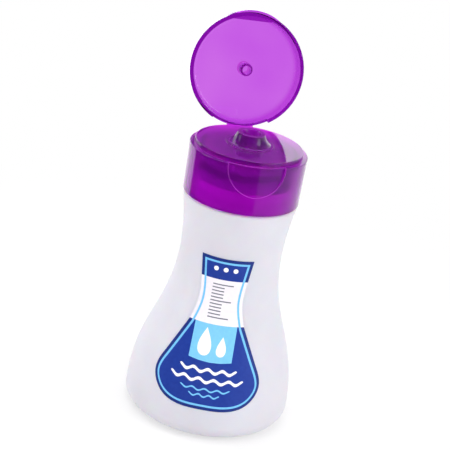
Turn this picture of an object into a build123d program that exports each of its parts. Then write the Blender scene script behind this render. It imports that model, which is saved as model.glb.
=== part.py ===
"""Squeezable travel bottle: a soft translucent body waisted like a flask, with a rigid neck ring
snapped into its mouth, and a screw cap whose flip-top lid hangs on a moulded film hinge.

Millimetres, +Z up. The origin is the centre of the flat base, and the front is -Y. The lid stands
open at the back, as it does at rest, and the cap is screwed home.
"""

from build123d import *
import os
from math import sqrt

# Soft body, turned from one profile that runs from the base corner to the shoulder
belly_radius = 28.0
base_corner_radius = 5.4
waist_radius = 17.0
waist_height = 58.5
shoulder_radius = 19.2
shoulder_height = 77.8
shoulder_slope_share = 0.23
shoulder_edge_radius = 0.9
# Share of the climb from belly to waist, and share of the extra radius left there
flank_shares = ((0.348, 0.755), (0.655, 0.245))
body_wall = 1.8
floor_thickness = 2.4
shoulder_thickness = 2.6

# Neck ring, a rigid grommet that grips the edge of the soft mouth between two flanges
neck_bore_radius = 11.9
neck_wall = 1.7
neck_flange_thickness = 1.4
lower_flange_width = 1.8
upper_flange_width = 2.7
neck_edge_radius = 0.4

# Screw thread, for which the neck and the sleeve of the cap leave room
thread_depth = 0.9
thread_clearance = 0.3

# Cap: outer skirt, ledge that the lid sits on, and the platform raised inside the ledge
cap_gap = 0.3
cap_height = 16.3
cap_overhang = 0.1
cap_draft = 0.2
skirt_wall = 1.6
skirt_edge_radius = 0.4
ledge_width = 1.65
ledge_edge_radius = 0.3
platform_height = 1.55
platform_edge_radius = 0.3
deck_thickness = 2.3
corner_web = 1.5
sleeve_wall = 1.4
sleeve_clearance = 5.2

# Thumb scoop in the front of the skirt, deepest at the ledge and shallow at its foot
scoop_radius = 9.4
scoop_drop = 0.6
scoop_depth = 1.1
scoop_foot_depth = 0.2

# Spout in the middle of the platform: a low boss and a bell-shaped nozzle with a funnel bore
boss_radius = 8.0
boss_height = 0.4
boss_edge_radius = 0.15
nozzle_base_radius = 6.9
nozzle_top_radius = 4.6
nozzle_height = 3.4
nozzle_hollow = 0.45
orifice_radius = 2.3
orifice_land = 1.2
funnel_radius = 3.25
orifice_tube_wall = 1.3
chamber_step = 0.5
coring_width = 1.7
coring_depth = 1.2

# Gasket squeezed between the deck and the top of the neck
gasket_thickness = 1.4
gasket_clearance = 0.2

# Flip-top lid, in the place where it lies closed on the ledge
lid_height = 7.0
lid_seat_gap = 0.1
lid_wall = 1.3
lid_draft = 0.6
lid_inner_draft = 0.8
lid_roof = 1.3
lid_top_edge_radius = 1.2
lid_rim_edge_radius = 0.3
lid_inner_edge_radius = 1.1
thumb_block_width = 15.0
thumb_block_clearance = 0.3
thumb_lip_width = 18.0
thumb_lip_reach = 0.7
thumb_lip_height = 2.2
lid_open_angle = 99.5

# Hollow plug on the ceiling of the lid, which stops the orifice
plug_clearance = 0.1
plug_wall = 0.7
plug_tip_height = 0.85
plug_taper_length = 1.0
plug_taper_depth = 0.3

# Film hinge at the back, in a relief cut into both skirts
hinge_relief_width = 19.2
hinge_relief_depth = 0.8
hinge_relief_height = 2.5
film_width = 9.0
film_thickness = 0.4

# Adhesive front label, a die-cut film that sits a little to the left of the front
label_thickness = 0.2
label_bottom = 11.6
label_height = 49.8
label_half_width = 17.2
label_turn_angle = -14.0
# Shares of the half width and of the height, down the label's side from its top corner
label_side_shares = ((0.49, 1.0), (0.44, 0.855), (0.415, 0.7), (0.525, 0.55))
# The same from the end of its straight flare, round the lobe to the middle of the bottom
label_lobe_shares = ((0.85, 0.32), (1.0, 0.155), (0.86, 0.055), (0.0, 0.0))

# How far a cutter runs past the face it cuts
overrun = 1.0

# Heights and radii that several pieces share
cavity_top = shoulder_height - shoulder_thickness
neck_radius = neck_bore_radius + neck_wall
flange_top = shoulder_height + neck_flange_thickness
cap_bottom = shoulder_height + cap_gap
ledge = cap_bottom + cap_height
cap_bottom_radius = shoulder_radius + cap_overhang
ledge_radius = cap_bottom_radius + cap_draft
platform_radius = ledge_radius - ledge_width
platform_top = ledge + platform_height
deck_underside = platform_top - deck_thickness
neck_top = deck_underside - gasket_thickness
sleeve_radius = neck_radius + thread_depth + thread_clearance
lid_rim = ledge + lid_seat_gap
lid_top = ledge + lid_height
lid_ceiling = lid_top - lid_roof
lid_inner_radius = ledge_radius - lid_wall
plug_tip = ledge + plug_tip_height
hinge_radius = ledge_radius - hinge_relief_depth
hinge = Axis((0, ledge_radius, ledge), (1, 0, 0))


def turned(*corners):
    """Solid turned about Z from corners given as (radius, height) or (radius, height, rounding)."""
    points = [corner[:2] for corner in corners]
    roundings = [corner[2] if len(corner) > 2 else 0 for corner in corners]
    outline = FilletPolyline(*points, radius=roundings, close=True)
    return revolve(Plane.XZ * make_face(outline), Axis.Z)


def tube(inner, outer, low, high):
    """Plain ring about Z."""
    return turned((inner, low), (outer, low), (outer, high), (inner, high))


def disc(radius, low, high):
    """Plain cylinder about Z."""
    return Pos(0, 0, low) * Cylinder(radius, high - low, align=(Align.CENTER, Align.CENTER, Align.MIN))


def slab(low, high):
    """Box between two corners."""
    size = [b - a for a, b in zip(low, high)]
    return Pos(*low) * Box(*size, align=(Align.MIN, Align.MIN, Align.MIN))


def body_form(inset, floor):
    """Solid inside the body's profile, drawn in by inset, from a floor height to the shoulder."""
    belly, waist = belly_radius - inset, waist_radius - inset
    corner = base_corner_radius - inset
    low = Line((0, floor), (belly - corner, floor))
    bend = JernArc(low @ 1, (1, 0), corner, 90)
    start = bend @ 1
    climb = waist_height - start.Y
    middle = [(waist + width * (belly - waist), start.Y + share * climb) for share, width in flank_shares]
    flank = Spline(start, *middle, (waist, waist_height), tangents=((0, 1), (0, 1)))
    slope = (shoulder_slope_share, 1)
    upper = Spline(flank @ 1, (shoulder_radius - inset, shoulder_height), tangents=((0, 1), slope))
    top = Line(upper @ 1, (0, shoulder_height))
    axis = Line(top @ 1, low @ 0)
    return revolve(Plane.XZ * make_face([low, bend, flank, upper, top, axis]), Axis.Z)


def bottle_body():
    """Soft shell with a thick shoulder, whose mouth is as wide as the neck ring's barrel."""
    outside = body_form(0, 0)
    shell = fillet(outside.edges().group_by(Axis.Z)[-1], shoulder_edge_radius)
    shoulder = disc(belly_radius, cavity_top, shoulder_height + overrun)
    cavity = body_form(body_wall, floor_thickness) - shoulder
    return shell - cavity - disc(neck_radius, cavity_top - overrun, shoulder_height + overrun)


def neck_ring():
    """Threaded neck's barrel with a flange below and above the edge of the soft mouth."""
    lower = neck_radius + lower_flange_width
    upper = neck_radius + upper_flange_width
    return turned(
        (neck_bore_radius, cavity_top - neck_flange_thickness),
        (lower, cavity_top - neck_flange_thickness, neck_edge_radius),
        (lower, cavity_top),
        (neck_radius, cavity_top),
        (neck_radius, shoulder_height),
        (upper, shoulder_height),
        (upper, flange_top, neck_edge_radius),
        (neck_radius, flange_top),
        (neck_radius, neck_top, neck_edge_radius),
        (neck_bore_radius, neck_top, neck_edge_radius),
    )


def gasket():
    """Flat sealing ring, held in the top of the cap's sleeve."""
    return tube(neck_bore_radius, sleeve_radius - gasket_clearance, neck_top, deck_underside)


def cap_shell():
    """Skirt, ledge and platform in one, hollow below the deck."""
    outside = turned(
        (0, cap_bottom),
        (cap_bottom_radius, cap_bottom, skirt_edge_radius),
        (ledge_radius, ledge, ledge_edge_radius),
        (platform_radius, ledge),
        (platform_radius, platform_top, platform_edge_radius),
        (0, platform_top),
    )
    skirt_top_radius = ledge_radius - skirt_wall
    inside = turned(
        (0, cap_bottom - overrun),
        (cap_bottom_radius - skirt_wall, cap_bottom - overrun),
        (cap_bottom_radius - skirt_wall, cap_bottom),
        (skirt_top_radius, deck_underside - corner_web),
        (skirt_top_radius - corner_web, deck_underside),
        (0, deck_underside),
    )
    sleeve = tube(sleeve_radius, sleeve_radius + sleeve_wall, flange_top + sleeve_clearance, deck_underside)
    return outside - inside + sleeve


def spout():
    """Boss and bell-shaped nozzle, standing on the platform."""
    foot = platform_top + boss_height
    top = foot + nozzle_height
    edge = (boss_radius, foot, boss_edge_radius)
    boss = turned((0, platform_top), (boss_radius, platform_top), edge, (0, foot))
    flank = SagittaArc((nozzle_base_radius, foot), (nozzle_top_radius, top), nozzle_hollow)
    across = Line(flank @ 1, (0, top))
    axis = Line(across @ 1, (0, foot))
    under = Line(axis @ 1, flank @ 0)
    return boss + revolve(Plane.XZ * make_face([flank, across, axis, under]), Axis.Z)


def spout_bore():
    """Cutter for the way through the spout: chamber, sealing land and funnel, and the coring."""
    top = platform_top + boss_height + nozzle_height
    land_top = plug_tip + orifice_land
    chamber_radius = orifice_radius + chamber_step
    way = turned(
        (0, deck_underside - overrun),
        (chamber_radius, deck_underside - overrun),
        (chamber_radius, plug_tip - chamber_step),
        (orifice_radius, plug_tip),
        (orifice_radius, land_top),
        (funnel_radius, top),
        (funnel_radius, top + overrun),
        (0, top + overrun),
    )
    tube_radius = chamber_radius + orifice_tube_wall
    coring_radius = tube_radius + coring_width
    coring_top = deck_underside + coring_depth
    return way + tube(tube_radius, coring_radius, deck_underside - overrun, coring_top)


def thumb_scoop():
    """Cutter for the scoop: U-shaped as seen from the front, and shallower down the wall."""
    centre = ledge - scoop_drop
    low = centre - scoop_radius
    wall_radius = ledge_radius - cap_draft * (ledge - low) / cap_height
    floor_radius = ledge_radius - scoop_depth
    floor = turned((0, low), (wall_radius - scoop_foot_depth, low), (floor_radius, ledge), (0, ledge))
    floor += disc(floor_radius, ledge, ledge + scoop_radius)
    reach = ledge_radius + overrun
    bottom = Cylinder(scoop_radius, reach, align=(Align.CENTER, Align.CENTER, Align.MIN))
    sides = slab((-scoop_radius, -reach, centre), (scoop_radius, 0, ledge + overrun))
    return Pos(0, 0, centre) * Rot(90, 0, 0) * bottom + sides - floor


def hinge_relief(low, high):
    """Cutter that thins a skirt from outside, over the width of the hinge."""
    reach = ledge_radius + overrun
    block = slab((-hinge_relief_width / 2, 0, low), (hinge_relief_width / 2, reach, high))
    return block - disc(hinge_radius, low - overrun, high + overrun)


def cap_base():
    """Screw cap with its spout, thumb scoop and hinge relief."""
    base = cap_shell() + spout() - spout_bore() - thumb_scoop()
    return base - hinge_relief(ledge - hinge_relief_height, ledge + overrun)


def opened(piece):
    """Turns a piece of the closed lid to where it stands open."""
    return piece.rotate(hinge, -lid_open_angle)


def lid_shell():
    """Shallow round lid, closed."""
    outside = turned(
        (0, lid_rim),
        (ledge_radius, lid_rim, lid_rim_edge_radius),
        (ledge_radius - lid_draft, lid_top, lid_top_edge_radius),
        (0, lid_top),
    )
    inside = turned(
        (0, lid_rim - overrun),
        (lid_inner_radius, lid_rim - overrun),
        (lid_inner_radius, lid_rim),
        (lid_inner_radius - lid_inner_draft, lid_ceiling, lid_inner_edge_radius),
        (0, lid_ceiling),
    )
    return outside - inside


def thumb_lip():
    """Crescent on the front of the rim that the thumb pushes up."""
    half = thumb_lip_width / 2
    edge = sqrt(ledge_radius**2 - half**2)
    rise = ledge_radius + thumb_lip_reach - edge
    radius = (half**2 + rise**2) / (2 * rise)
    centre = -(ledge_radius + thumb_lip_reach - radius)
    high = lid_rim + thumb_lip_height
    lip = Pos(0, centre, 0) * disc(radius, lid_rim, high)
    lip = fillet(lip.edges(), lid_rim_edge_radius)
    front = slab((-half, -ledge_radius - lid_height, lid_rim), (half, -edge, high))
    return (lip & front) - disc(lid_inner_radius, lid_rim - overrun, high + overrun)


def thumb_block():
    """Thickening behind the lip, flat on its inner side, which clears the platform."""
    half = thumb_block_width / 2
    chord = sqrt(lid_inner_radius**2 - half**2)
    low = platform_top + thumb_block_clearance
    filling = disc(lid_inner_radius, low, lid_ceiling)
    return filling & slab((-half - lid_wall, -ledge_radius, low), (half + lid_wall, -chord, lid_ceiling))


def plug():
    """Hollow pin on the ceiling that stops the orifice when the lid is shut."""
    radius = orifice_radius - plug_clearance
    return turned(
        (radius - plug_wall, plug_tip),
        (radius - plug_taper_depth, plug_tip),
        (radius, plug_tip + plug_taper_length),
        (radius, lid_ceiling),
        (radius - plug_wall, lid_ceiling),
    )


def lid():
    """Lid with its lip, block and plug, standing open."""
    closed = lid_shell() + thumb_block() + thumb_lip() + plug()
    return opened(closed - hinge_relief(lid_rim - overrun, lid_rim + hinge_relief_height))


def living_hinge():
    """Film that joins the two skirts: a leaf on each, and the bead where it folds."""
    half = film_width / 2
    root = sqrt(hinge_radius**2 - half**2)
    core = disc(hinge_radius, ledge - overrun, ledge + overrun)
    lower = slab((-half, root, ledge - film_thickness), (half, ledge_radius, ledge)) - core
    upper = slab((-half, root, lid_rim), (half, ledge_radius, lid_rim + film_thickness)) - core
    bead = Pos(0, ledge_radius, ledge) * Rot(0, 90, 0) * Cylinder(film_thickness, film_width)
    return lower + opened(upper) + bead


def label_outline():
    """Die-cut outline of the label as seen square on, with its lower edge at label_bottom."""

    def place(share):
        return (share[0] * label_half_width, label_bottom + share[1] * label_height)

    side = Spline(*[place(share) for share in label_side_shares])
    flare = Line(side @ 1, place(label_lobe_shares[0]))
    lobe = Spline(*[place(share) for share in label_lobe_shares], tangents=(flare % 1, (-1, 0)))
    right = [side, flare, lobe]
    left = [mirror(edge, Plane.YZ) for edge in right]
    top = Line(side @ 0, left[0] @ 0)
    return make_face([*right, *left, top])


def front_label():
    """Film that follows the body's surface inside the die-cut outline."""
    film = body_form(-label_thickness, -label_thickness) - body_form(0, 0)
    blank = extrude(Plane.XZ * label_outline(), belly_radius + overrun)
    return film & blank.rotate(Axis.Z, label_turn_angle)


pieces = {
    "bottle_body": bottle_body(),
    "neck_ring": neck_ring(),
    "gasket": gasket(),
    "cap_base": cap_base(),
    "living_hinge": living_hinge(),
    "lid": lid(),
    "front_label": front_label(),
}

os.makedirs("parts", exist_ok=True)
for name, piece in pieces.items():
    export_step(piece, f"parts/{name}.step")
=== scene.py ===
"""Looks of the squeezable travel bottle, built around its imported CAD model.

Lengths of the bottle are written in millimetres and turned into metres where a mesh is made. Those
of the floor, the lamps and the frame's calls are in metres. Heights are above the surface the bottle
stands on, +Z is up, and the front is -Y.
"""

from math import asin, atan2, cos, pi, radians, sin, sqrt, tan

import bmesh
import bpy
import numpy as np
from mathutils import Matrix, Vector, geometry


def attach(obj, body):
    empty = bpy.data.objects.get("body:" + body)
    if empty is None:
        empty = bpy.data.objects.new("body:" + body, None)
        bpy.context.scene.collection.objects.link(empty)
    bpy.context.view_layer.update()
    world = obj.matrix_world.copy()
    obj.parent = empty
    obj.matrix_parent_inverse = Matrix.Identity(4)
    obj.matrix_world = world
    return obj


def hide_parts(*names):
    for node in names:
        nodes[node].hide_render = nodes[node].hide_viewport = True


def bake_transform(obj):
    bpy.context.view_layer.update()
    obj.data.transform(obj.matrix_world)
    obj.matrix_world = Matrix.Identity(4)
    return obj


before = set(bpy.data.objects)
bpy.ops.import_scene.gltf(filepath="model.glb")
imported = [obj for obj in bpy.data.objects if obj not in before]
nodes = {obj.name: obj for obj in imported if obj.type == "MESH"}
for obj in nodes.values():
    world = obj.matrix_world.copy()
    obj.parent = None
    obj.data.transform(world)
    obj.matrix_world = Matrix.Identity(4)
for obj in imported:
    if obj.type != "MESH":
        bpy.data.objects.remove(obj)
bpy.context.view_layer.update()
for leftover in ("Cube", "Light", "Camera"):
    if leftover in bpy.data.objects:
        bpy.data.objects.remove(bpy.data.objects[leftover])

MM = 0.001
scene = bpy.context.scene

# Sizes that follow the CAD part, in millimetres
belly_radius = 28.0
base_corner_radius = 5.4
waist_radius = 17.0
waist_height = 58.5
shoulder_radius = 19.2
shoulder_height = 77.8
shoulder_slope_share = 0.23
shoulder_edge_radius = 0.9
flank_shares = ((0.348, 0.755), (0.655, 0.245))
body_wall = 1.8
floor_thickness = 2.4
shoulder_thickness = 2.6
cavity_top = shoulder_height - shoulder_thickness
neck_radius = 13.6
neck_bore_radius = 11.9
neck_top = 92.25
deck_underside = 93.65
sleeve_radius = 14.8
ledge = 94.4
ledge_radius = 19.5
hinge_radius = 18.7
lid_open_angle = 99.5
plug_radius = 2.2
plug_wall = 0.7

# Soft body: hollow of the base, as distances from the middle and heights, and edges of the mouth
base_hollow = ((0, 0.9), (6, 0.85), (11, 0.6), (14.5, 0.2), (16.0, 0.0))
mouth_edge_radius = 0.15
roof_edge_radius = 0.5
roof_margin = 0.3

# Screw threads and gasket
thread_lead = 4.0
thread_start_angle = -60.0
thread_width = 1.6
thread_flat_share = 0.2
thread_sink = 0.25
thread_steps = 96
thread_fade_steps = 12
neck_thread_depth = 0.9
neck_thread_heights = (83.4, 89.6)
sleeve_thread_depth = 0.85
sleeve_thread_heights = (85.4, 91.6)
gasket_edge_radius = 0.3
gasket_clearance = 0.2

# Film hinge: points in the cap, out from its recessed wall and up from the ledge, then points in the
# open lid, up from the hinge line and back from its rim, and the thickness on each side of its middle
film_half_width = 4.5
film_cap_points = ((-0.45, -0.2), (0.3, -0.18), (0.65, -0.1), (0.9, 0.06))
film_lid_points = ((0.35, 0.14), (0.7, 0.2), (1.3, 0.22))
film_fold_half = 0.13
film_end_extra = 0.09
film_side_thinning_share = 0.25
film_side_power = 8
film_steps = 22
film_rows = 19

# Die-cut outline of the label, as shares of its half width and height
label_bottom = 11.6
label_height = 49.8
label_half_width = 17.2
label_turn = -14.0
label_side_shares = ((0.49, 1.0), (0.44, 0.855), (0.415, 0.7), (0.525, 0.55))
label_lobe_shares = ((0.85, 0.32), (1.0, 0.155), (0.86, 0.055), (0.0, 0.0))
label_flare_steps = 12
label_front_lift = 0.2
label_back_lift = 0.02
# Grid of points inside the label: spacing, half width, and how near two points count as one
label_step = 0.8
label_reach = 20.0
label_tolerance = 1e-5

# Design printed on the label, as distances from its middle line and heights
keyline_inset = 1.05
field_inset = 1.75
window_heights = (39.2, 54.1)
panel_foot = ((-7.2, 27.9), (-3.6, 27.5), (0, 27.35), (3.6, 27.5), (7.2, 27.9))
panel_top_half_width = 7.0
dot_places = (-3.2, 0, 3.2)
dot_height = 57.7
dot_radius = 0.8
mark_left = -3.4
mark_short_right = 0.6
mark_long_right = 3.4
mark_bottom = 41.4
mark_spacing = 1.1
mark_half_thickness = 0.2
mark_count = 11
marks_between_long = 5
drops = (((-2.6, 33.6), 6.2), ((3.0, 32.6), 4.4))
drop_length_share = 0.72
drop_point_power = 1.3
# Ink, height, half length, thickness, swing and crests of each wave
waves = (
    ("white", 24.6, 9.6, 1.0, 0.55, 4),
    ("white", 21.4, 12.4, 1.0, 0.55, 5),
    ("keyline", 18.4, 8.4, 0.55, 0.4, 4),
    ("keyline", 16.4, 5.2, 0.55, 0.4, 3),
)
wave_end_share = 0.15
wave_end_power = 14
wave_steps = 14

# Meshes: metres under which two points are one, millimetres under which a ring is a point, and the
# angles over which an edge is sharp
weld_distance = 1e-7
least_radius = 1e-6
sharp_angle = 35.0
label_sharp_angle = 50.0


# Curves


def unit(v):
    """Direction of a 2-D vector."""
    v = np.asarray(v, float)
    return v / np.linalg.norm(v)


def spline(points, start=None, end=None, count=40):
    """Samples of the smooth curve through points, with the end directions where they are given."""
    p = np.array(points, float)
    gaps = np.linalg.norm(np.diff(p, axis=0), axis=1)
    t = np.concatenate([[0], np.cumsum(gaps)])
    n = len(p)
    matrix, right = np.zeros((n, n)), np.zeros((n, 2))
    for i in range(1, n - 1):
        before, after = gaps[i - 1], gaps[i]
        matrix[i, i - 1 : i + 2] = 1 / before, 2 / before + 2 / after, 1 / after
        right[i] = 3 * ((p[i] - p[i - 1]) / before**2 + (p[i + 1] - p[i]) / after**2)
    for row, other, gap, given in ((0, 1, gaps[0], start), (n - 1, n - 2, gaps[-1], end)):
        if given is not None:
            matrix[row, row] = 1
            right[row] = unit(given)
        else:
            matrix[row, row], matrix[row, other] = 2, 1
            right[row] = 3 * (p[max(row, other)] - p[min(row, other)]) / gap
    slopes = np.linalg.solve(matrix, right)
    found = []
    for s in np.linspace(0, t[-1], count):
        i = min(int(np.searchsorted(t, s, side="right")) - 1, n - 2)
        h = gaps[i]
        u = (s - t[i]) / h
        found.append(
            (2 * u**3 - 3 * u**2 + 1) * p[i]
            + (u**3 - 2 * u**2 + u) * h * slopes[i]
            + (3 * u**2 - 2 * u**3) * p[i + 1]
            + (u**3 - u**2) * h * slopes[i + 1]
        )
    return np.array(found)


def rounded(corners, steps=6):
    """Outline with an arc at each corner that is given as (x, y, rounding)."""
    count = len(corners)
    outline = []
    for i, corner in enumerate(corners):
        here = np.array(corner[:2], float)
        radius = corner[2] if len(corner) > 2 else 0
        if not radius:
            outline.append(here)
            continue
        back = unit(np.array(corners[i - 1][:2]) - here)
        ahead = unit(np.array(corners[(i + 1) % count][:2]) - here)
        half = np.arccos(np.clip(back @ ahead, -1, 1)) / 2
        start, end = here + back * radius / tan(half), here + ahead * radius / tan(half)
        centre = here + unit(back + ahead) * radius / sin(half)
        a = atan2(*(start - centre)[::-1])
        turn = (atan2(*(end - centre)[::-1]) - a + pi) % (2 * pi) - pi
        for k in range(steps + 1):
            angle = a + turn * k / steps
            outline.append(centre + radius * np.array((cos(angle), sin(angle))))
    return np.array(outline)


def body_profile(inset, floor, steps=12):
    """Outer line of the body, drawn in by inset, from its axis at floor up to the shoulder."""
    belly, waist = belly_radius - inset, waist_radius - inset
    corner = base_corner_radius - inset
    bend = [
        (belly - corner + corner * sin(a), floor + corner - corner * cos(a))
        for a in np.linspace(0, pi / 2, steps)
    ]
    start = bend[-1]
    climb = waist_height - start[1]
    middle = [(waist + w * (belly - waist), start[1] + s * climb) for s, w in flank_shares]
    flank = spline([start, *middle, (waist, waist_height)], (0, 1), (0, 1), 46)
    top = (shoulder_radius - inset, shoulder_height)
    upper = spline([(waist, waist_height), top], (0, 1), (shoulder_slope_share, 1), 16)
    return np.vstack([bend, flank[1:], upper[1:]])


outer_line = body_profile(0, 0, steps=24)


def body_radius(height):
    """Radius of the body's outside at a height."""
    return float(np.interp(height, outer_line[:, 1], outer_line[:, 0]))


# Meshes


def add_object(name, verts, faces, body):
    """Object from vertices in millimetres, shaded smooth but for its sharp edges."""
    mesh = bpy.data.meshes.new(name)
    mesh.from_pydata([tuple(np.array(v, float) * MM) for v in verts], [], faces)
    tidy = bmesh.new()
    tidy.from_mesh(mesh)
    bmesh.ops.remove_doubles(tidy, verts=tidy.verts, dist=weld_distance)
    bmesh.ops.recalc_face_normals(tidy, faces=tidy.faces)
    tidy.to_mesh(mesh)
    tidy.free()
    mesh.shade_smooth()
    mesh.set_sharp_from_angle(angle=radians(sharp_angle))
    piece = bpy.data.objects.new(name, mesh)
    scene.collection.objects.link(piece)
    if body:
        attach(piece, body)
    return piece


def turned(name, outline, body, steps=192, closed=True):
    """Shell of revolution about Z from an outline of (radius, height)."""
    verts, rows = [], []
    for radius, height in outline:
        if radius < least_radius:
            rows.append([len(verts)] * steps)
            verts.append((0, 0, height))
            continue
        rows.append(list(range(len(verts), len(verts) + steps)))
        for k in range(steps):
            a = 2 * pi * k / steps
            verts.append((radius * cos(a), radius * sin(a), height))
    pairs = list(zip(rows, rows[1:] + rows[:1])) if closed else list(zip(rows, rows[1:]))
    faces = []
    for low, high in pairs:
        for k in range(steps):
            n = (k + 1) % steps
            corners = list(dict.fromkeys((low[k], low[n], high[n], high[k])))
            if len(corners) > 2:
                faces.append(corners)
    return add_object(name, verts, faces, body)


def helix_ridge(name, root, crest, heights, body):
    """Thread ridge from a low to a high turn, with ends that fade into the wall."""
    low, high = heights
    count = int((high - low) / thread_lead * thread_steps)
    half, flat = thread_width / 2, thread_width * thread_flat_share
    buried = root - thread_sink if crest > root else root + thread_sink
    verts, faces = [], []
    for i in range(count + 1):
        share = min(1.0, i / thread_fade_steps, (count - i) / thread_fade_steps)
        share = share * share * (3 - 2 * share)
        tip = root + (crest - root) * share
        a = radians(thread_start_angle) + 2 * pi * i / thread_steps
        height = low + thread_lead * i / thread_steps
        lower = ((buried, -half), (root, -half), (tip, -flat))
        section = (*lower, *[(radius, -rise) for radius, rise in lower[::-1]])
        verts += [(radius * cos(a), radius * sin(a), height + rise) for radius, rise in section]
    sides = len(section)
    for i in range(count):
        for k in range(sides):
            n = (k + 1) % sides
            faces.append((sides * i + k, sides * i + n, sides * (i + 1) + n, sides * (i + 1) + k))
    faces.append(tuple(range(sides)))
    faces.append(tuple(range(sides * count, sides * (count + 1))))
    return add_object(name, verts, faces, body)


# Materials


def add_node(tree, kind, operation=None):
    """New shader node, set to an operation where it has several."""
    made = tree.nodes.new("ShaderNode" + kind)
    if operation:
        made.operation = operation
    return made


def map_range(tree, value, given, wanted=(0.0, 1.0), smooth=False):
    """Value taken from a given range to a wanted one, and held at its ends."""
    made = add_node(tree, "MapRange")
    if smooth:
        made.interpolation_type = "SMOOTHSTEP"
    for socket, number in zip(("From Min", "From Max", "To Min", "To Max"), (*given, *wanted)):
        made.inputs[socket].default_value = number
    tree.links.new(value, made.inputs["Value"])
    return made.outputs["Result"]


def linear(colour):
    """sRGB from 0 to 255 as linear light, with an alpha of one."""
    found = []
    for value in colour:
        c = value / 255
        found.append(c / 12.92 if c <= 0.04045 else ((c + 0.055) / 1.055) ** 2.4)
    return (*found, 1)


def principled(made):
    """Sockets of a material's main shader."""
    return made.node_tree.nodes["Principled BSDF"].inputs


def material(name, colour, roughness, **inputs):
    """Principled material, whose colour and bump nodes then work. Colours are sRGB, 0 to 255."""
    made = bpy.data.materials.new(name)
    made.use_nodes = True
    sockets = principled(made)
    sockets["Base Color"].default_value = linear(colour)
    sockets["Roughness"].default_value = roughness
    for socket, value in inputs.items():
        sockets[socket.replace("_", " ")].default_value = value
    return made


noise_roughness = 0.55
tint_stops = (0.3, 0.7)
bevel_samples = 8
# Likeness of the true and the rounded normal where an edge's painted highlight begins and where it is
# full
edge_likeness = (0.995, 0.85)
# Density of a volume, as a share of its largest loss
density_share = 1.02


def noise(made, scale, detail=3.0):
    """Noise in the object's own space: scale is features per metre."""
    tree = made.node_tree
    texture = add_node(tree, "TexNoise")
    texture.inputs["Scale"].default_value = scale
    texture.inputs["Detail"].default_value = detail
    texture.inputs["Roughness"].default_value = noise_roughness
    tree.links.new(add_node(tree, "TexCoord").outputs["Object"], texture.inputs["Vector"])
    return texture.outputs["Fac"]


def tint(made, factor, low, high):
    """Colour between low and high by factor, into the base colour."""
    tree = made.node_tree
    ramp = add_node(tree, "ValToRGB")
    for stop, position, colour in zip(ramp.color_ramp.elements, tint_stops, (low, high)):
        stop.position = position
        stop.color = linear(colour)
    tree.links.new(factor, ramp.inputs["Fac"])
    tree.links.new(ramp.outputs["Color"], principled(made)["Base Color"])


def roughen(made, factor, low, high):
    """Roughness between low and high by factor."""
    tree = made.node_tree
    tree.links.new(map_range(tree, factor, (0.0, 1.0), (low, high)), principled(made)["Roughness"])


def bump(made, factor, depth):
    """Relief of a depth in millimetres."""
    tree = made.node_tree
    relief = add_node(tree, "Bump")
    relief.inputs["Strength"].default_value = 1.0
    relief.inputs["Distance"].default_value = depth * MM
    tree.links.new(factor, relief.inputs["Height"])
    tree.links.new(relief.outputs["Normal"], principled(made)["Normal"])


def recolour(made, factor, colour):
    """Another base colour where factor is one."""
    tree = made.node_tree
    target = principled(made)["Base Color"]
    mix = add_node(tree, "MixRGB")
    mix.inputs["Color2"].default_value = linear(colour)
    tree.links.new(factor, mix.inputs["Fac"])
    tree.links.new(target.links[0].from_socket, mix.inputs["Color1"])
    tree.links.new(mix.outputs["Color"], target)


def paint_tube_shade(made, centre, along, inner, outer, colour):
    """Painted shade: deeper colour in the wall of a tube around a line, in millimetres in the
    object's space.
    """
    tree = made.node_tree
    link = tree.links.new
    offset = add_node(tree, "VectorMath", "SUBTRACT")
    offset.inputs[1].default_value = [c * MM for c in centre]
    away = add_node(tree, "VectorMath", "CROSS_PRODUCT")
    away.inputs[1].default_value = along
    distance = add_node(tree, "VectorMath", "LENGTH")
    wall = add_node(tree, "Math", "COMPARE")
    wall.inputs[1].default_value = (inner + outer) / 2 * MM
    wall.inputs[2].default_value = (outer - inner) / 2 * MM
    link(add_node(tree, "TexCoord").outputs["Object"], offset.inputs[0])
    link(offset.outputs["Vector"], away.inputs[0])
    link(away.outputs["Vector"], distance.inputs[0])
    link(distance.outputs["Value"], wall.inputs[0])
    recolour(made, wall.outputs["Value"], colour)


def paint_edge_highlights(made, radius, colour, clear, clear_at_edge):
    """Painted highlight along edges: paler, less clear plastic where their rounding would catch
    light. Radius in millimetres.
    """
    tree = made.node_tree
    link = tree.links.new
    bevel = add_node(tree, "Bevel")
    bevel.samples = bevel_samples
    bevel.inputs["Radius"].default_value = radius * MM
    alike = add_node(tree, "VectorMath", "DOT_PRODUCT")
    link(bevel.outputs["Normal"], alike.inputs[0])
    link(add_node(tree, "NewGeometry").outputs["Normal"], alike.inputs[1])
    edge = map_range(tree, alike.outputs["Value"], edge_likeness)
    recolour(made, edge, colour)
    clearness = map_range(tree, edge, (0.0, 1.0), (clear, clear_at_edge))
    link(clearness, principled(made)["Transmission Weight"])


def absorb(made, losses):
    """Light lost inside the plastic, as red, green and blue shares per millimetre of depth."""
    tree = made.node_tree
    volume = add_node(tree, "VolumeAbsorption")
    density = max(losses) * density_share
    volume.inputs["Color"].default_value = (*[1 - loss / density for loss in losses], 1)
    volume.inputs["Density"].default_value = density / MM
    tree.links.new(volume.outputs["Volume"], tree.nodes["Material Output"].inputs["Volume"])


def clear_plastic(name, low, high, losses, bending, rough):
    """Glossy see-through plastic: little bending of light, forms behind it blurred by a rough inside,
    and colour that deepens with thickness."""
    middle = [(a + b) / 2 for a, b in zip(low, high)]
    gloss = {"Coat_Weight": 0.8, "Coat_Roughness": 0.03}
    made = material(name, middle, rough, Transmission_Weight=1.0, IOR=bending, **gloss)
    tint(made, noise(made, 32, detail=2), low, high)
    bump(made, noise(made, 500, detail=2), 0.004)
    absorb(made, losses)
    return made


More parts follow.
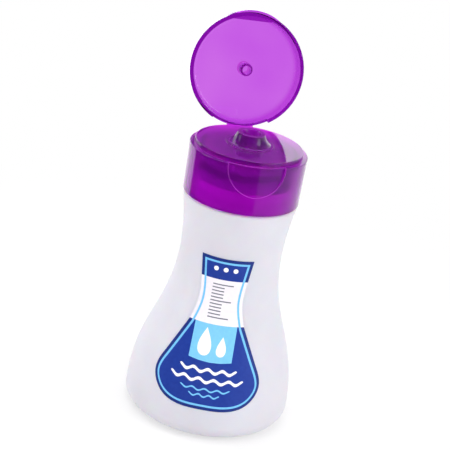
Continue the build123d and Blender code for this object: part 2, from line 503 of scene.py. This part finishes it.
def print_ink(name, colour, spread=4):
    """Ink on the label's film: nearly even, under a thin clear coat."""
    made = material("label_" + name, colour, 0.38, Coat_Weight=0.1, Coat_Roughness=0.2)
    low = [max(0, c - spread) for c in colour]
    high = [min(255, c + spread) for c in colour]
    tint(made, noise(made, 900, detail=4), low, high)
    roughen(made, noise(made, 350), 0.34, 0.44)
    bump(made, noise(made, 260, detail=2), 0.02)
    return made


silicone = material(
    "frosted_silicone",
    (232, 230, 238),
    0.5,
    Subsurface_Weight=0.35,
    Subsurface_Scale=0.003,
    Transmission_Weight=0.25,
    IOR=1.41,
)
tint(silicone, noise(silicone, 45), (229, 227, 235), (235, 233, 241))
roughen(silicone, noise(silicone, 300), 0.46, 0.56)
bump(silicone, noise(silicone, 1600, detail=2), 0.015)

# Lid and cap are one plastic; the lid's copy is painted paler and bluer than the cap's, for the light
# that shows through the lid from behind
backlit_lid_plastic = clear_plastic(
    "backlit_lid_plastic", (219, 127, 252), (231, 161, 255), losses=(0.17, 0.65, 0.13), bending=1.1, rough=0.1
)
cap_plastic = clear_plastic(
    "cap_plastic", (230, 66, 239), (236, 78, 245), losses=(0.1, 0.4, 0.08), bending=1.12, rough=0.55
)
# Painted highlight: a paler lavender line along the cap's edges
paint_edge_highlights(cap_plastic, 0.4, (232, 100, 240), clear=1.0, clear_at_edge=0.7)
swing = radians(lid_open_angle)
plug_middle = (0, ledge_radius * (1 - cos(swing)), ledge + ledge_radius * sin(swing))
plug_margin = 0.1
# Painted shade: a darker ring on the wall of the lid's plug, for the shade its tube shows end-on
paint_tube_shade(
    backlit_lid_plastic,
    plug_middle,
    (0, sin(swing), cos(swing)),
    plug_radius - plug_wall - plug_margin,
    plug_radius + plug_margin,
    (206, 88, 222),
)

collar = material("collar_plastic", (246, 244, 247), 0.45, Transmission_Weight=0.1, IOR=1.49)
tint(collar, noise(collar, 80), (243, 241, 244), (249, 247, 250))
bump(collar, noise(collar, 700), 0.01)

rubber = material(
    "gasket_rubber", (218, 217, 214), 0.6, Subsurface_Weight=0.2, Subsurface_Scale=0.002
)
tint(rubber, noise(rubber, 120), (212, 211, 208), (223, 222, 219))
bump(rubber, noise(rubber, 900), 0.02)

ink_colours = {
    "edge": (8, 42, 128),
    "keyline": (110, 190, 240),
    "field": (4, 50, 150),
    "middle": (236, 231, 239),
    "panel": (118, 196, 240),
    "white": (244, 246, 250),
    "grey": (112, 114, 126),
}
inks = {name: print_ink(name, colour) for name, colour in ink_colours.items()}


# Body


def silicone_body():
    """Soft shell with its wall, a rounded mouth and a slightly hollow base."""
    outside = body_profile(0, 0, steps=20)
    inside = body_profile(body_wall, floor_thickness, steps=14)
    inside = inside[inside[:, 1] < cavity_top - roof_margin]
    roof_radius = float(np.interp(cavity_top, *body_profile(body_wall, floor_thickness)[:, ::-1].T))
    shoulder = rounded(
        [
            tuple(outside[-3]),
            (*outside[-1], shoulder_edge_radius),
            (neck_radius, shoulder_height, mouth_edge_radius),
            (neck_radius, cavity_top, mouth_edge_radius),
            (roof_radius, cavity_top, roof_edge_radius),
            tuple(inside[-1]),
        ]
    )
    outline = [*base_hollow, *outside[:-3], *shoulder, *inside[-2::-1], (0, floor_thickness)]
    return turned("body_shell", outline, "bottle", closed=False)


body_shell = silicone_body()
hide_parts("bottle_body")
body_shell.data.materials.append(silicone)

# Neck, gasket and threads
neck_thread = helix_ridge(
    "neck_thread",
    neck_radius,
    neck_radius + neck_thread_depth,
    neck_thread_heights,
    "bottle",
)
neck_thread.data.materials.append(collar)
sleeve_thread = helix_ridge(
    "sleeve_thread",
    sleeve_radius,
    sleeve_radius - sleeve_thread_depth,
    sleeve_thread_heights,
    "cap",
)
sleeve_thread.data.materials.append(cap_plastic)
gasket_corners = (
    (neck_bore_radius, neck_top),
    (sleeve_radius - gasket_clearance, neck_top),
    (sleeve_radius - gasket_clearance, deck_underside),
    (neck_bore_radius, deck_underside),
)
sealing_ring = turned(
    "sealing_ring",
    rounded([(*corner, gasket_edge_radius) for corner in gasket_corners]),
    "seal",
    steps=128,
)
sealing_ring.data.materials.append(rubber)
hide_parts("gasket")


def paint(node, made):
    """Gives a CAD node one material in place of its own."""
    piece = nodes[node]
    piece.data.materials.clear()
    piece.data.materials.append(made)


paint("neck_ring", collar)
paint("cap_base", cap_plastic)
paint("lid", backlit_lid_plastic)


# Film hinge


def film_line():
    """Middle line of the film in a plane across it, from the cap to the lid's rim."""
    line = [(hinge_radius + out, ledge + rise) for out, rise in film_cap_points]
    tilt = radians(90 - lid_open_angle)
    for along, out in film_lid_points:
        y = ledge_radius + cos(tilt) * out - sin(tilt) * along
        z = ledge + sin(tilt) * out + cos(tilt) * along
        line.append((y, z))
    return spline(line, count=film_steps)


def film_hinge():
    """Thin web from the cap's recess over the hinge line to the lid's rim, swept across its width."""
    line = film_line()
    fold = film_steps // 2 - 1
    last = film_steps - 1
    verts, faces = [], []
    for x in np.linspace(-film_half_width, film_half_width, film_rows):
        side = 1 - film_side_thinning_share * (abs(x) / film_half_width) ** film_side_power
        for i, point in enumerate(line):
            tangent = unit(line[min(i + 1, last)] - line[max(i - 1, 0)])
            normal = np.array((-tangent[1], tangent[0]))
            away = min(1, abs(i - fold) / (fold + 1))
            half = (film_fold_half + film_end_extra * away**2) * side
            for sign in (1, -1):
                verts.append((x, *(point + sign * half * normal)))
    row = 2 * film_steps
    for c in range(film_rows - 1):
        for i in range(last):
            for sign in (0, 1):
                a = c * row + 2 * i + sign
                faces.append((a, a + 2, a + 2 + row, a + row))
        for i in (0, last):
            a = c * row + 2 * i
            faces.append((a, a + 1, a + 1 + row, a + row))
    for c in (0, film_rows - 1):
        for i in range(last):
            a = c * row + 2 * i
            faces.append((a, a + 1, a + 3, a + 2))
    piece = add_object("hinge_film", verts, faces, None)
    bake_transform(piece)
    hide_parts("living_hinge")
    piece.data.materials.append(cap_plastic)


film_hinge()


# Label


def die_cut():
    """Right half of the label's outline, in distance along the surface and height, top to bottom."""

    def place(share):
        return (share[0] * label_half_width, label_bottom + share[1] * label_height)

    side = spline([place(s) for s in label_side_shares], count=24)
    flare_end = np.array(place(label_lobe_shares[0]))
    steps = label_flare_steps
    flare = [side[-1] + (flare_end - side[-1]) * k / steps for k in range(1, steps)]
    lobe = spline([place(s) for s in label_lobe_shares], flare_end - side[-1], (-1, 0), 44)
    flat = np.vstack([side, flare, lobe])
    return np.array([(body_radius(z) * asin(min(1, x / body_radius(z))), z) for x, z in flat])


def inward(outline, distance):
    """Closed outline moved inwards by a distance, with its corners kept."""
    count = len(outline)
    pairs = [(outline[i], outline[(i + 1) % count]) for i in range(count)]
    area = sum(a[0] * b[1] - b[0] * a[1] for a, b in pairs)
    sense = 1 if area > 0 else -1
    moved = []
    for i in range(count):
        before = unit(outline[i] - outline[i - 1])
        after = unit(outline[(i + 1) % count] - outline[i])
        normals = [sense * np.array((-d[1], d[0])) for d in (before, after)]
        middle = normals[0] + normals[1]
        moved.append(outline[i] + middle * distance / (1 + normals[0] @ normals[1]))
    return np.array(moved)


def inside(points, outline):
    """For each point, whether it is inside the closed outline."""
    x, y = np.asarray(points, float).T
    found = np.zeros(len(x), bool)
    ax, ay = outline[-1]
    for bx, by in outline:
        if ay != by:
            found ^= ((ay > y) != (by > y)) & (x < (bx - ax) * (y - ay) / (by - ay) + ax)
        ax, ay = bx, by
    return found


def divided(line, step):
    """The same line of points, with more along the stretches that are longer than a step."""
    found = []
    for a, b in zip(line, line[1:]):
        parts = max(1, int(np.ceil(np.linalg.norm(b - a) / step)))
        found += [a + (b - a) * k / parts for k in range(parts)]
    return np.array([*found, line[-1]])


def box(low, high):
    """Upright rectangle from corner to corner."""
    return np.array([low, (high[0], low[1]), high, (low[0], high[1])], float)


def dot(centre, radius, count=20):
    """Round dot."""
    turn = [2 * pi * k / count for k in range(count)]
    return np.array([(centre[0] + radius * cos(a), centre[1] + radius * sin(a)) for a in turn])


def drop(centre, size, count=28):
    """Water drop with its point up, size across."""
    found = []
    for k in range(count):
        a = 2 * pi * k / count
        x = size / 2 * sin(a) * sin(a / 2) ** drop_point_power
        y = size * drop_length_share * cos(a)
        found.append((centre[0] + x, centre[1] + y))
    return np.array(found)


def wave(height, half, thick, swing, crests):
    """Wavy band across the label, with rounded ends."""
    low, high = [], []
    for x in np.linspace(-half, half, crests * wave_steps + 1):
        y = height + swing * cos(2 * pi * crests * (x + half) / (2 * half))
        fullness = sqrt(max(0, 1 - (abs(x) / half) ** wave_end_power)) + wave_end_share
        rise = thick / 2 * min(1, fullness)
        low.append((x, y - rise))
        high.append((x, y + rise))
    return np.array(low + high[::-1])


def label_art(film):
    """Printed areas, each an ink and a closed outline. Later ones lie over earlier ones."""
    window_low, window_high = window_heights
    panel_top = ((panel_top_half_width, window_low), (-panel_top_half_width, window_low))
    art = [
        ("edge", film),
        ("keyline", inward(film, keyline_inset)),
        ("field", inward(film, field_inset)),
        ("middle", box((-2 * label_reach, window_low), (2 * label_reach, window_high))),
        ("panel", np.array((*panel_foot, *panel_top))),
    ]
    art += [("white", dot((x, dot_height), dot_radius)) for x in dot_places]
    for k in range(mark_count):
        z = mark_bottom + k * mark_spacing
        mark_right = mark_short_right if k % marks_between_long else mark_long_right
        low, high = z - mark_half_thickness, z + mark_half_thickness
        art.append(("grey", box((mark_left, low), (mark_right, high))))
    art += [("white", drop(centre, size)) for centre, size in drops]
    art += [(ink, wave(*shape)) for ink, *shape in waves]
    return art


def printed_sheet(half, film, art):
    """Flat label as points, triangles and the number of each one's ink, cut along every outline."""
    points, edges = [], []

    def add_line(line):
        line = divided(np.array(line, float), label_step)
        first = len(points)
        points.extend(Vector(p) for p in line)
        edges.extend((first + k, first + k + 1) for k in range(len(line) - 1))

    # A band that is wider than the label is cut in along its lower and upper edge alone
    for _, outline in art:
        if abs(outline[:, 0]).max() > label_reach:
            for z in (outline[:, 1].min(), outline[:, 1].max()):
                reach = float(np.interp(-z, -half[:, 1], half[:, 0]))
                add_line([(-reach, z), (reach, z)])
        else:
            add_line([*outline, outline[0]])
    heights = np.arange(label_bottom + label_step, label_bottom + label_height, label_step)
    places = np.arange(-label_reach, label_reach, label_step)
    spots = np.array([(s, z) for z in heights for s in places])
    points.extend(Vector(p) for p in spots[inside(spots, inward(film, label_step / 3))])
    flat, _, triangles, *_ = geometry.delaunay_2d_cdt(points, edges, [], 0, label_tolerance)
    flat = np.array([tuple(p) for p in flat])
    triangles = np.array([tuple(t) for t in triangles])
    triangles = triangles[inside(flat[triangles].mean(axis=1), film)]
    middles = flat[triangles].mean(axis=1)
    names = list(inks)
    chosen = np.zeros(len(triangles), int)
    rings = dict(art[:3])
    ribbon = inside(middles, rings["keyline"]) & ~inside(middles, rings["field"])
    for ink, outline in art[1:]:
        covered = inside(middles, outline)
        chosen[covered] = names.index(ink)
        if ink == "middle":
            chosen[covered & ribbon] = names.index("keyline")
    return flat, [tuple(int(i) for i in t) for t in triangles], [int(c) for c in chosen]


def front_film():
    """Thin film that follows the body inside the die-cut outline, printed in areas of ink."""
    half = die_cut()
    film = np.vstack([half, [(-s, z) for s, z in half[-2::-1]]])
    flat, triangles, chosen = printed_sheet(half, film, label_art(film))
    turn = Matrix.Rotation(radians(label_turn), 4, "Z")

    def placed(point, lift):
        s, z = point
        a = s / body_radius(z)
        out = body_radius(z) + lift
        return tuple((turn @ Vector((out * sin(a), -out * cos(a), z))) * MM)

    count = len(flat)
    verts = [placed(p, lift) for lift in (label_front_lift, label_back_lift) for p in flat]
    faces = triangles + [tuple(i + count for i in reversed(t)) for t in triangles]
    used = dict.fromkeys(pair for t in triangles for pair in zip(t, t[1:] + t[:1]))
    rim = [(a, b) for a, b in used if (b, a) not in used]
    faces += [(b, a, a + count, b + count) for a, b in rim]
    mesh = bpy.data.meshes.new("label_film")
    mesh.from_pydata(verts, [], faces)
    for ink in inks.values():
        mesh.materials.append(ink)
    names = list(inks)
    back = [names.index("middle")] * len(triangles)
    side = [names.index("edge")] * len(rim)
    mesh.polygons.foreach_set("material_index", chosen + back + side)
    mesh.shade_smooth()
    mesh.set_sharp_from_angle(angle=radians(label_sharp_angle))
    piece = bpy.data.objects.new("label_film", mesh)
    scene.collection.objects.link(piece)
    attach(piece, "bottle")
    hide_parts("front_label")


front_film()


# Stage: floor, lamps, world and camera

# Floor: its colour, how strongly it shines near the bottle and far from it, and where that changes
floor_colour = (0.86, 0.86, 0.86, 1)
floor_glow = (0.55, 1.0)
floor_fade = (0.05, 0.22)
floor_rings = (0.1, 0.3, 1.0, 4.0)
floor_steps = 64


def floor_material():
    """Pale matt floor, which fades to plain white away from the bottle where the camera sees it."""
    made = bpy.data.materials.new("floor")
    made.use_nodes = True
    tree = made.node_tree
    tree.nodes.clear()
    link = tree.links.new
    matte = add_node(tree, "BsdfDiffuse")
    matte.inputs["Color"].default_value = floor_colour
    path = add_node(tree, "LightPath")
    seen = add_node(tree, "Math", "ADD")
    link(path.outputs["Is Camera Ray"], seen.inputs[0])
    link(path.outputs["Is Glossy Ray"], seen.inputs[1])
    seen_or_through = add_node(tree, "Math", "ADD")
    seen_or_through.use_clamp = True
    link(seen.outputs["Value"], seen_or_through.inputs[0])
    link(path.outputs["Is Transmission Ray"], seen_or_through.inputs[1])
    away = add_node(tree, "VectorMath", "LENGTH")
    link(add_node(tree, "TexCoord").outputs["Object"], away.inputs[0])
    share = add_node(tree, "Math", "MULTIPLY")
    link(seen_or_through.outputs["Value"], share.inputs[0])
    link(map_range(tree, away.outputs["Value"], floor_fade, floor_glow, smooth=True), share.inputs[1])
    mix = add_node(tree, "MixShader")
    link(share.outputs["Value"], mix.inputs["Fac"])
    link(matte.outputs["BSDF"], mix.inputs[1])
    link(add_node(tree, "Emission").outputs["Emission"], mix.inputs[2])
    link(mix.outputs["Shader"], add_node(tree, "OutputMaterial").inputs["Surface"])
    return made


def floor():
    """Wide flat disc under the bottle."""
    steps = floor_steps
    turn = [2 * pi * k / steps for k in range(steps)]
    verts = [(0, 0, 0)] + [(r * cos(a), r * sin(a), 0) for r in floor_rings for a in turn]
    faces = []
    for k in range(steps):
        n = (k + 1) % steps
        faces.append((0, 1 + k, 1 + n))
        for ring in range(len(floor_rings) - 1):
            a = 1 + ring * steps
            faces.append((a + k, a + steps + k, a + steps + n, a + n))
    mesh = bpy.data.meshes.new("floor")
    mesh.from_pydata(verts, [], faces)
    mesh.materials.append(floor_material())
    piece = bpy.data.objects.new("floor", mesh)
    scene.collection.objects.link(piece)
    piece.visible_glossy = False


floor()

# Middle of the bottle, which the lamps point at
lamp_target = (0, 0, 0.065)


def lamp(name, place, size, power, mirrored=True, seen_through=True):
    """Soft rectangular lamp, unseen by the camera itself. Glossy surfaces may mirror it or not, and
    it may show through clear plastic or not."""
    data = bpy.data.lights.new(name, "AREA")
    data.shape = "RECTANGLE"
    data.size, data.size_y = size
    data.energy = power
    made = bpy.data.objects.new(name, data)
    made.location = place
    made.rotation_euler = (Vector(lamp_target) - Vector(place)).to_track_quat("-Z", "Y").to_euler()
    made.visible_camera = False
    made.visible_glossy = mirrored
    made.visible_transmission = seen_through
    scene.collection.objects.link(made)


lamp("right_panel", (0.50, -0.30, 0.42), (0.30, 0.5), 1.3)
lamp("left_strip", (-0.55, 0.10, 0.25), (0.08, 0.5), 0.6)
lamp("front_fill", (-0.12, -0.48, 0.14), (0.3, 0.3), 0.5, mirrored=False, seen_through=False)
lamp("top_panel", (-0.05, 0.1, 0.8), (0.6, 0.5), 2.6, mirrored=False)

# World: colours, and directions in degrees from the front towards +X
white = (1, 1, 1)
soft_light = (0.82, 0.81, 0.82)
panel_light = (0.8, 0.8, 0.8)
dark_light = (0.02, 0.02, 0.022)
dark_middle = -57.0
dark_half_angle = 74.0
dark_blur = 0.02
rear_middle = 195.0
# How well a direction points to the rear, from -1 to 1, and how bright the room is there
low_glow = ((-0.9, 0.9), (0.6, 2.2))
high_glow = ((0.2, 0.88), (0.3, 2.8))
backdrop_glow = ((-0.6, 0.5), (0.78, 1.22))
# Steepness of a direction where the low panels end and where the high ones begin
panel_rise = (0.16, 0.3)


def studio():
    """Room: white to the camera, even for soft light, and brighter to the rear through clear plastic.
    Reflections show it dark at the front left, and elsewhere in panels that brighten to the rear."""
    world = bpy.data.worlds.new("studio")
    scene.world = world
    world.use_nodes = True
    tree = world.node_tree
    tree.nodes.clear()
    link = tree.links.new
    direction = add_node(tree, "TexCoord").outputs["Generated"]
    level = add_node(tree, "VectorMath", "MULTIPLY")
    level.inputs[1].default_value = (1, 1, 0)
    link(direction, level.inputs[0])
    straight = add_node(tree, "VectorMath", "NORMALIZE")
    link(level.outputs["Vector"], straight.inputs[0])
    apart = add_node(tree, "SeparateXYZ")
    link(direction, apart.inputs["Vector"])
    path = add_node(tree, "LightPath").outputs

    def towards(angle):
        """How well a level direction points to an angle, from -1 to 1."""
        alike = add_node(tree, "VectorMath", "DOT_PRODUCT")
        alike.inputs[1].default_value = (sin(radians(angle)), -cos(radians(angle)), 0)
        link(straight.outputs["Vector"], alike.inputs[0])
        return alike.outputs["Value"]

    def background(colour, strength=None):
        """Light of a colour, as strong as an output says."""
        made = add_node(tree, "Background")
        made.inputs["Color"].default_value = (*colour, 1)
        if strength is not None:
            link(strength, made.inputs["Strength"])
        return made.outputs["Background"]

    def either(factor, first, second):
        """The first light where the factor is zero, and the second where it is one."""
        mix = add_node(tree, "MixShader")
        link(factor, mix.inputs["Fac"])
        link(first, mix.inputs[1])
        link(second, mix.inputs[2])
        return mix.outputs["Shader"]

    rear = towards(rear_middle)
    panels = add_node(tree, "MapRange")
    panels.inputs["From Min"].default_value, panels.inputs["From Max"].default_value = panel_rise
    link(apart.outputs["Z"], panels.inputs["Value"])
    link(map_range(tree, rear, *low_glow), panels.inputs["To Min"])
    link(map_range(tree, rear, *high_glow), panels.inputs["To Max"])
    limit = cos(radians(dark_half_angle))
    dark = map_range(tree, towards(dark_middle), (limit - dark_blur, limit + dark_blur))
    room = background(panel_light, panels.outputs["Result"])
    mirrored = either(dark, room, background(dark_light))
    lit = either(path["Is Glossy Ray"], background(soft_light), mirrored)
    backdrop = background(white, map_range(tree, rear, *backdrop_glow, smooth=True))
    through = either(path["Is Transmission Ray"], lit, backdrop)
    seen = either(path["Is Camera Ray"], through, background(white))
    link(seen, add_node(tree, "OutputWorld").inputs["Surface"])


studio()

# Camera at the photograph's viewing angle, with its distance and height in millimetres
azimuth, elevation, roll = radians(-12.85), radians(21.6), radians(10.08)
distance = 516.8
focal_pixels, frame_pixels = 1554.9, 450
aim_height = 66.1
# Pixels to the right of the frame's middle and below it where that height of the axis shows
aim_offset = (9.86, 2.38)
back = Vector((sin(azimuth) * cos(elevation), -cos(azimuth) * cos(elevation), sin(elevation)))
right = Vector((cos(azimuth), sin(azimuth), 0))
up = back.cross(right)
leaning_right = right * cos(roll) + up * sin(roll)
leaning_up = up * cos(roll) - right * sin(roll)
aim = Vector((0, 0, aim_height))
eye = aim + back * distance
scale = distance / focal_pixels
target = aim - leaning_right * aim_offset[0] * scale + leaning_up * aim_offset[1] * scale
back = (eye - target).normalized()
leaning_right = leaning_up.cross(back).normalized()
leaning_up = back.cross(leaning_right)
data = bpy.data.cameras.new("camera")
data.sensor_width = 36.0
data.lens = focal_pixels / frame_pixels * data.sensor_width
data.clip_start, data.clip_end = 0.01, 20
camera = bpy.data.objects.new("camera", data)
scene.collection.objects.link(camera)
basis = Matrix((leaning_right, leaning_up, back)).transposed().to_4x4()
camera.matrix_world = Matrix.Translation(eye * MM) @ basis
scene.camera = camera
scene.view_settings.view_transform = "Standard"
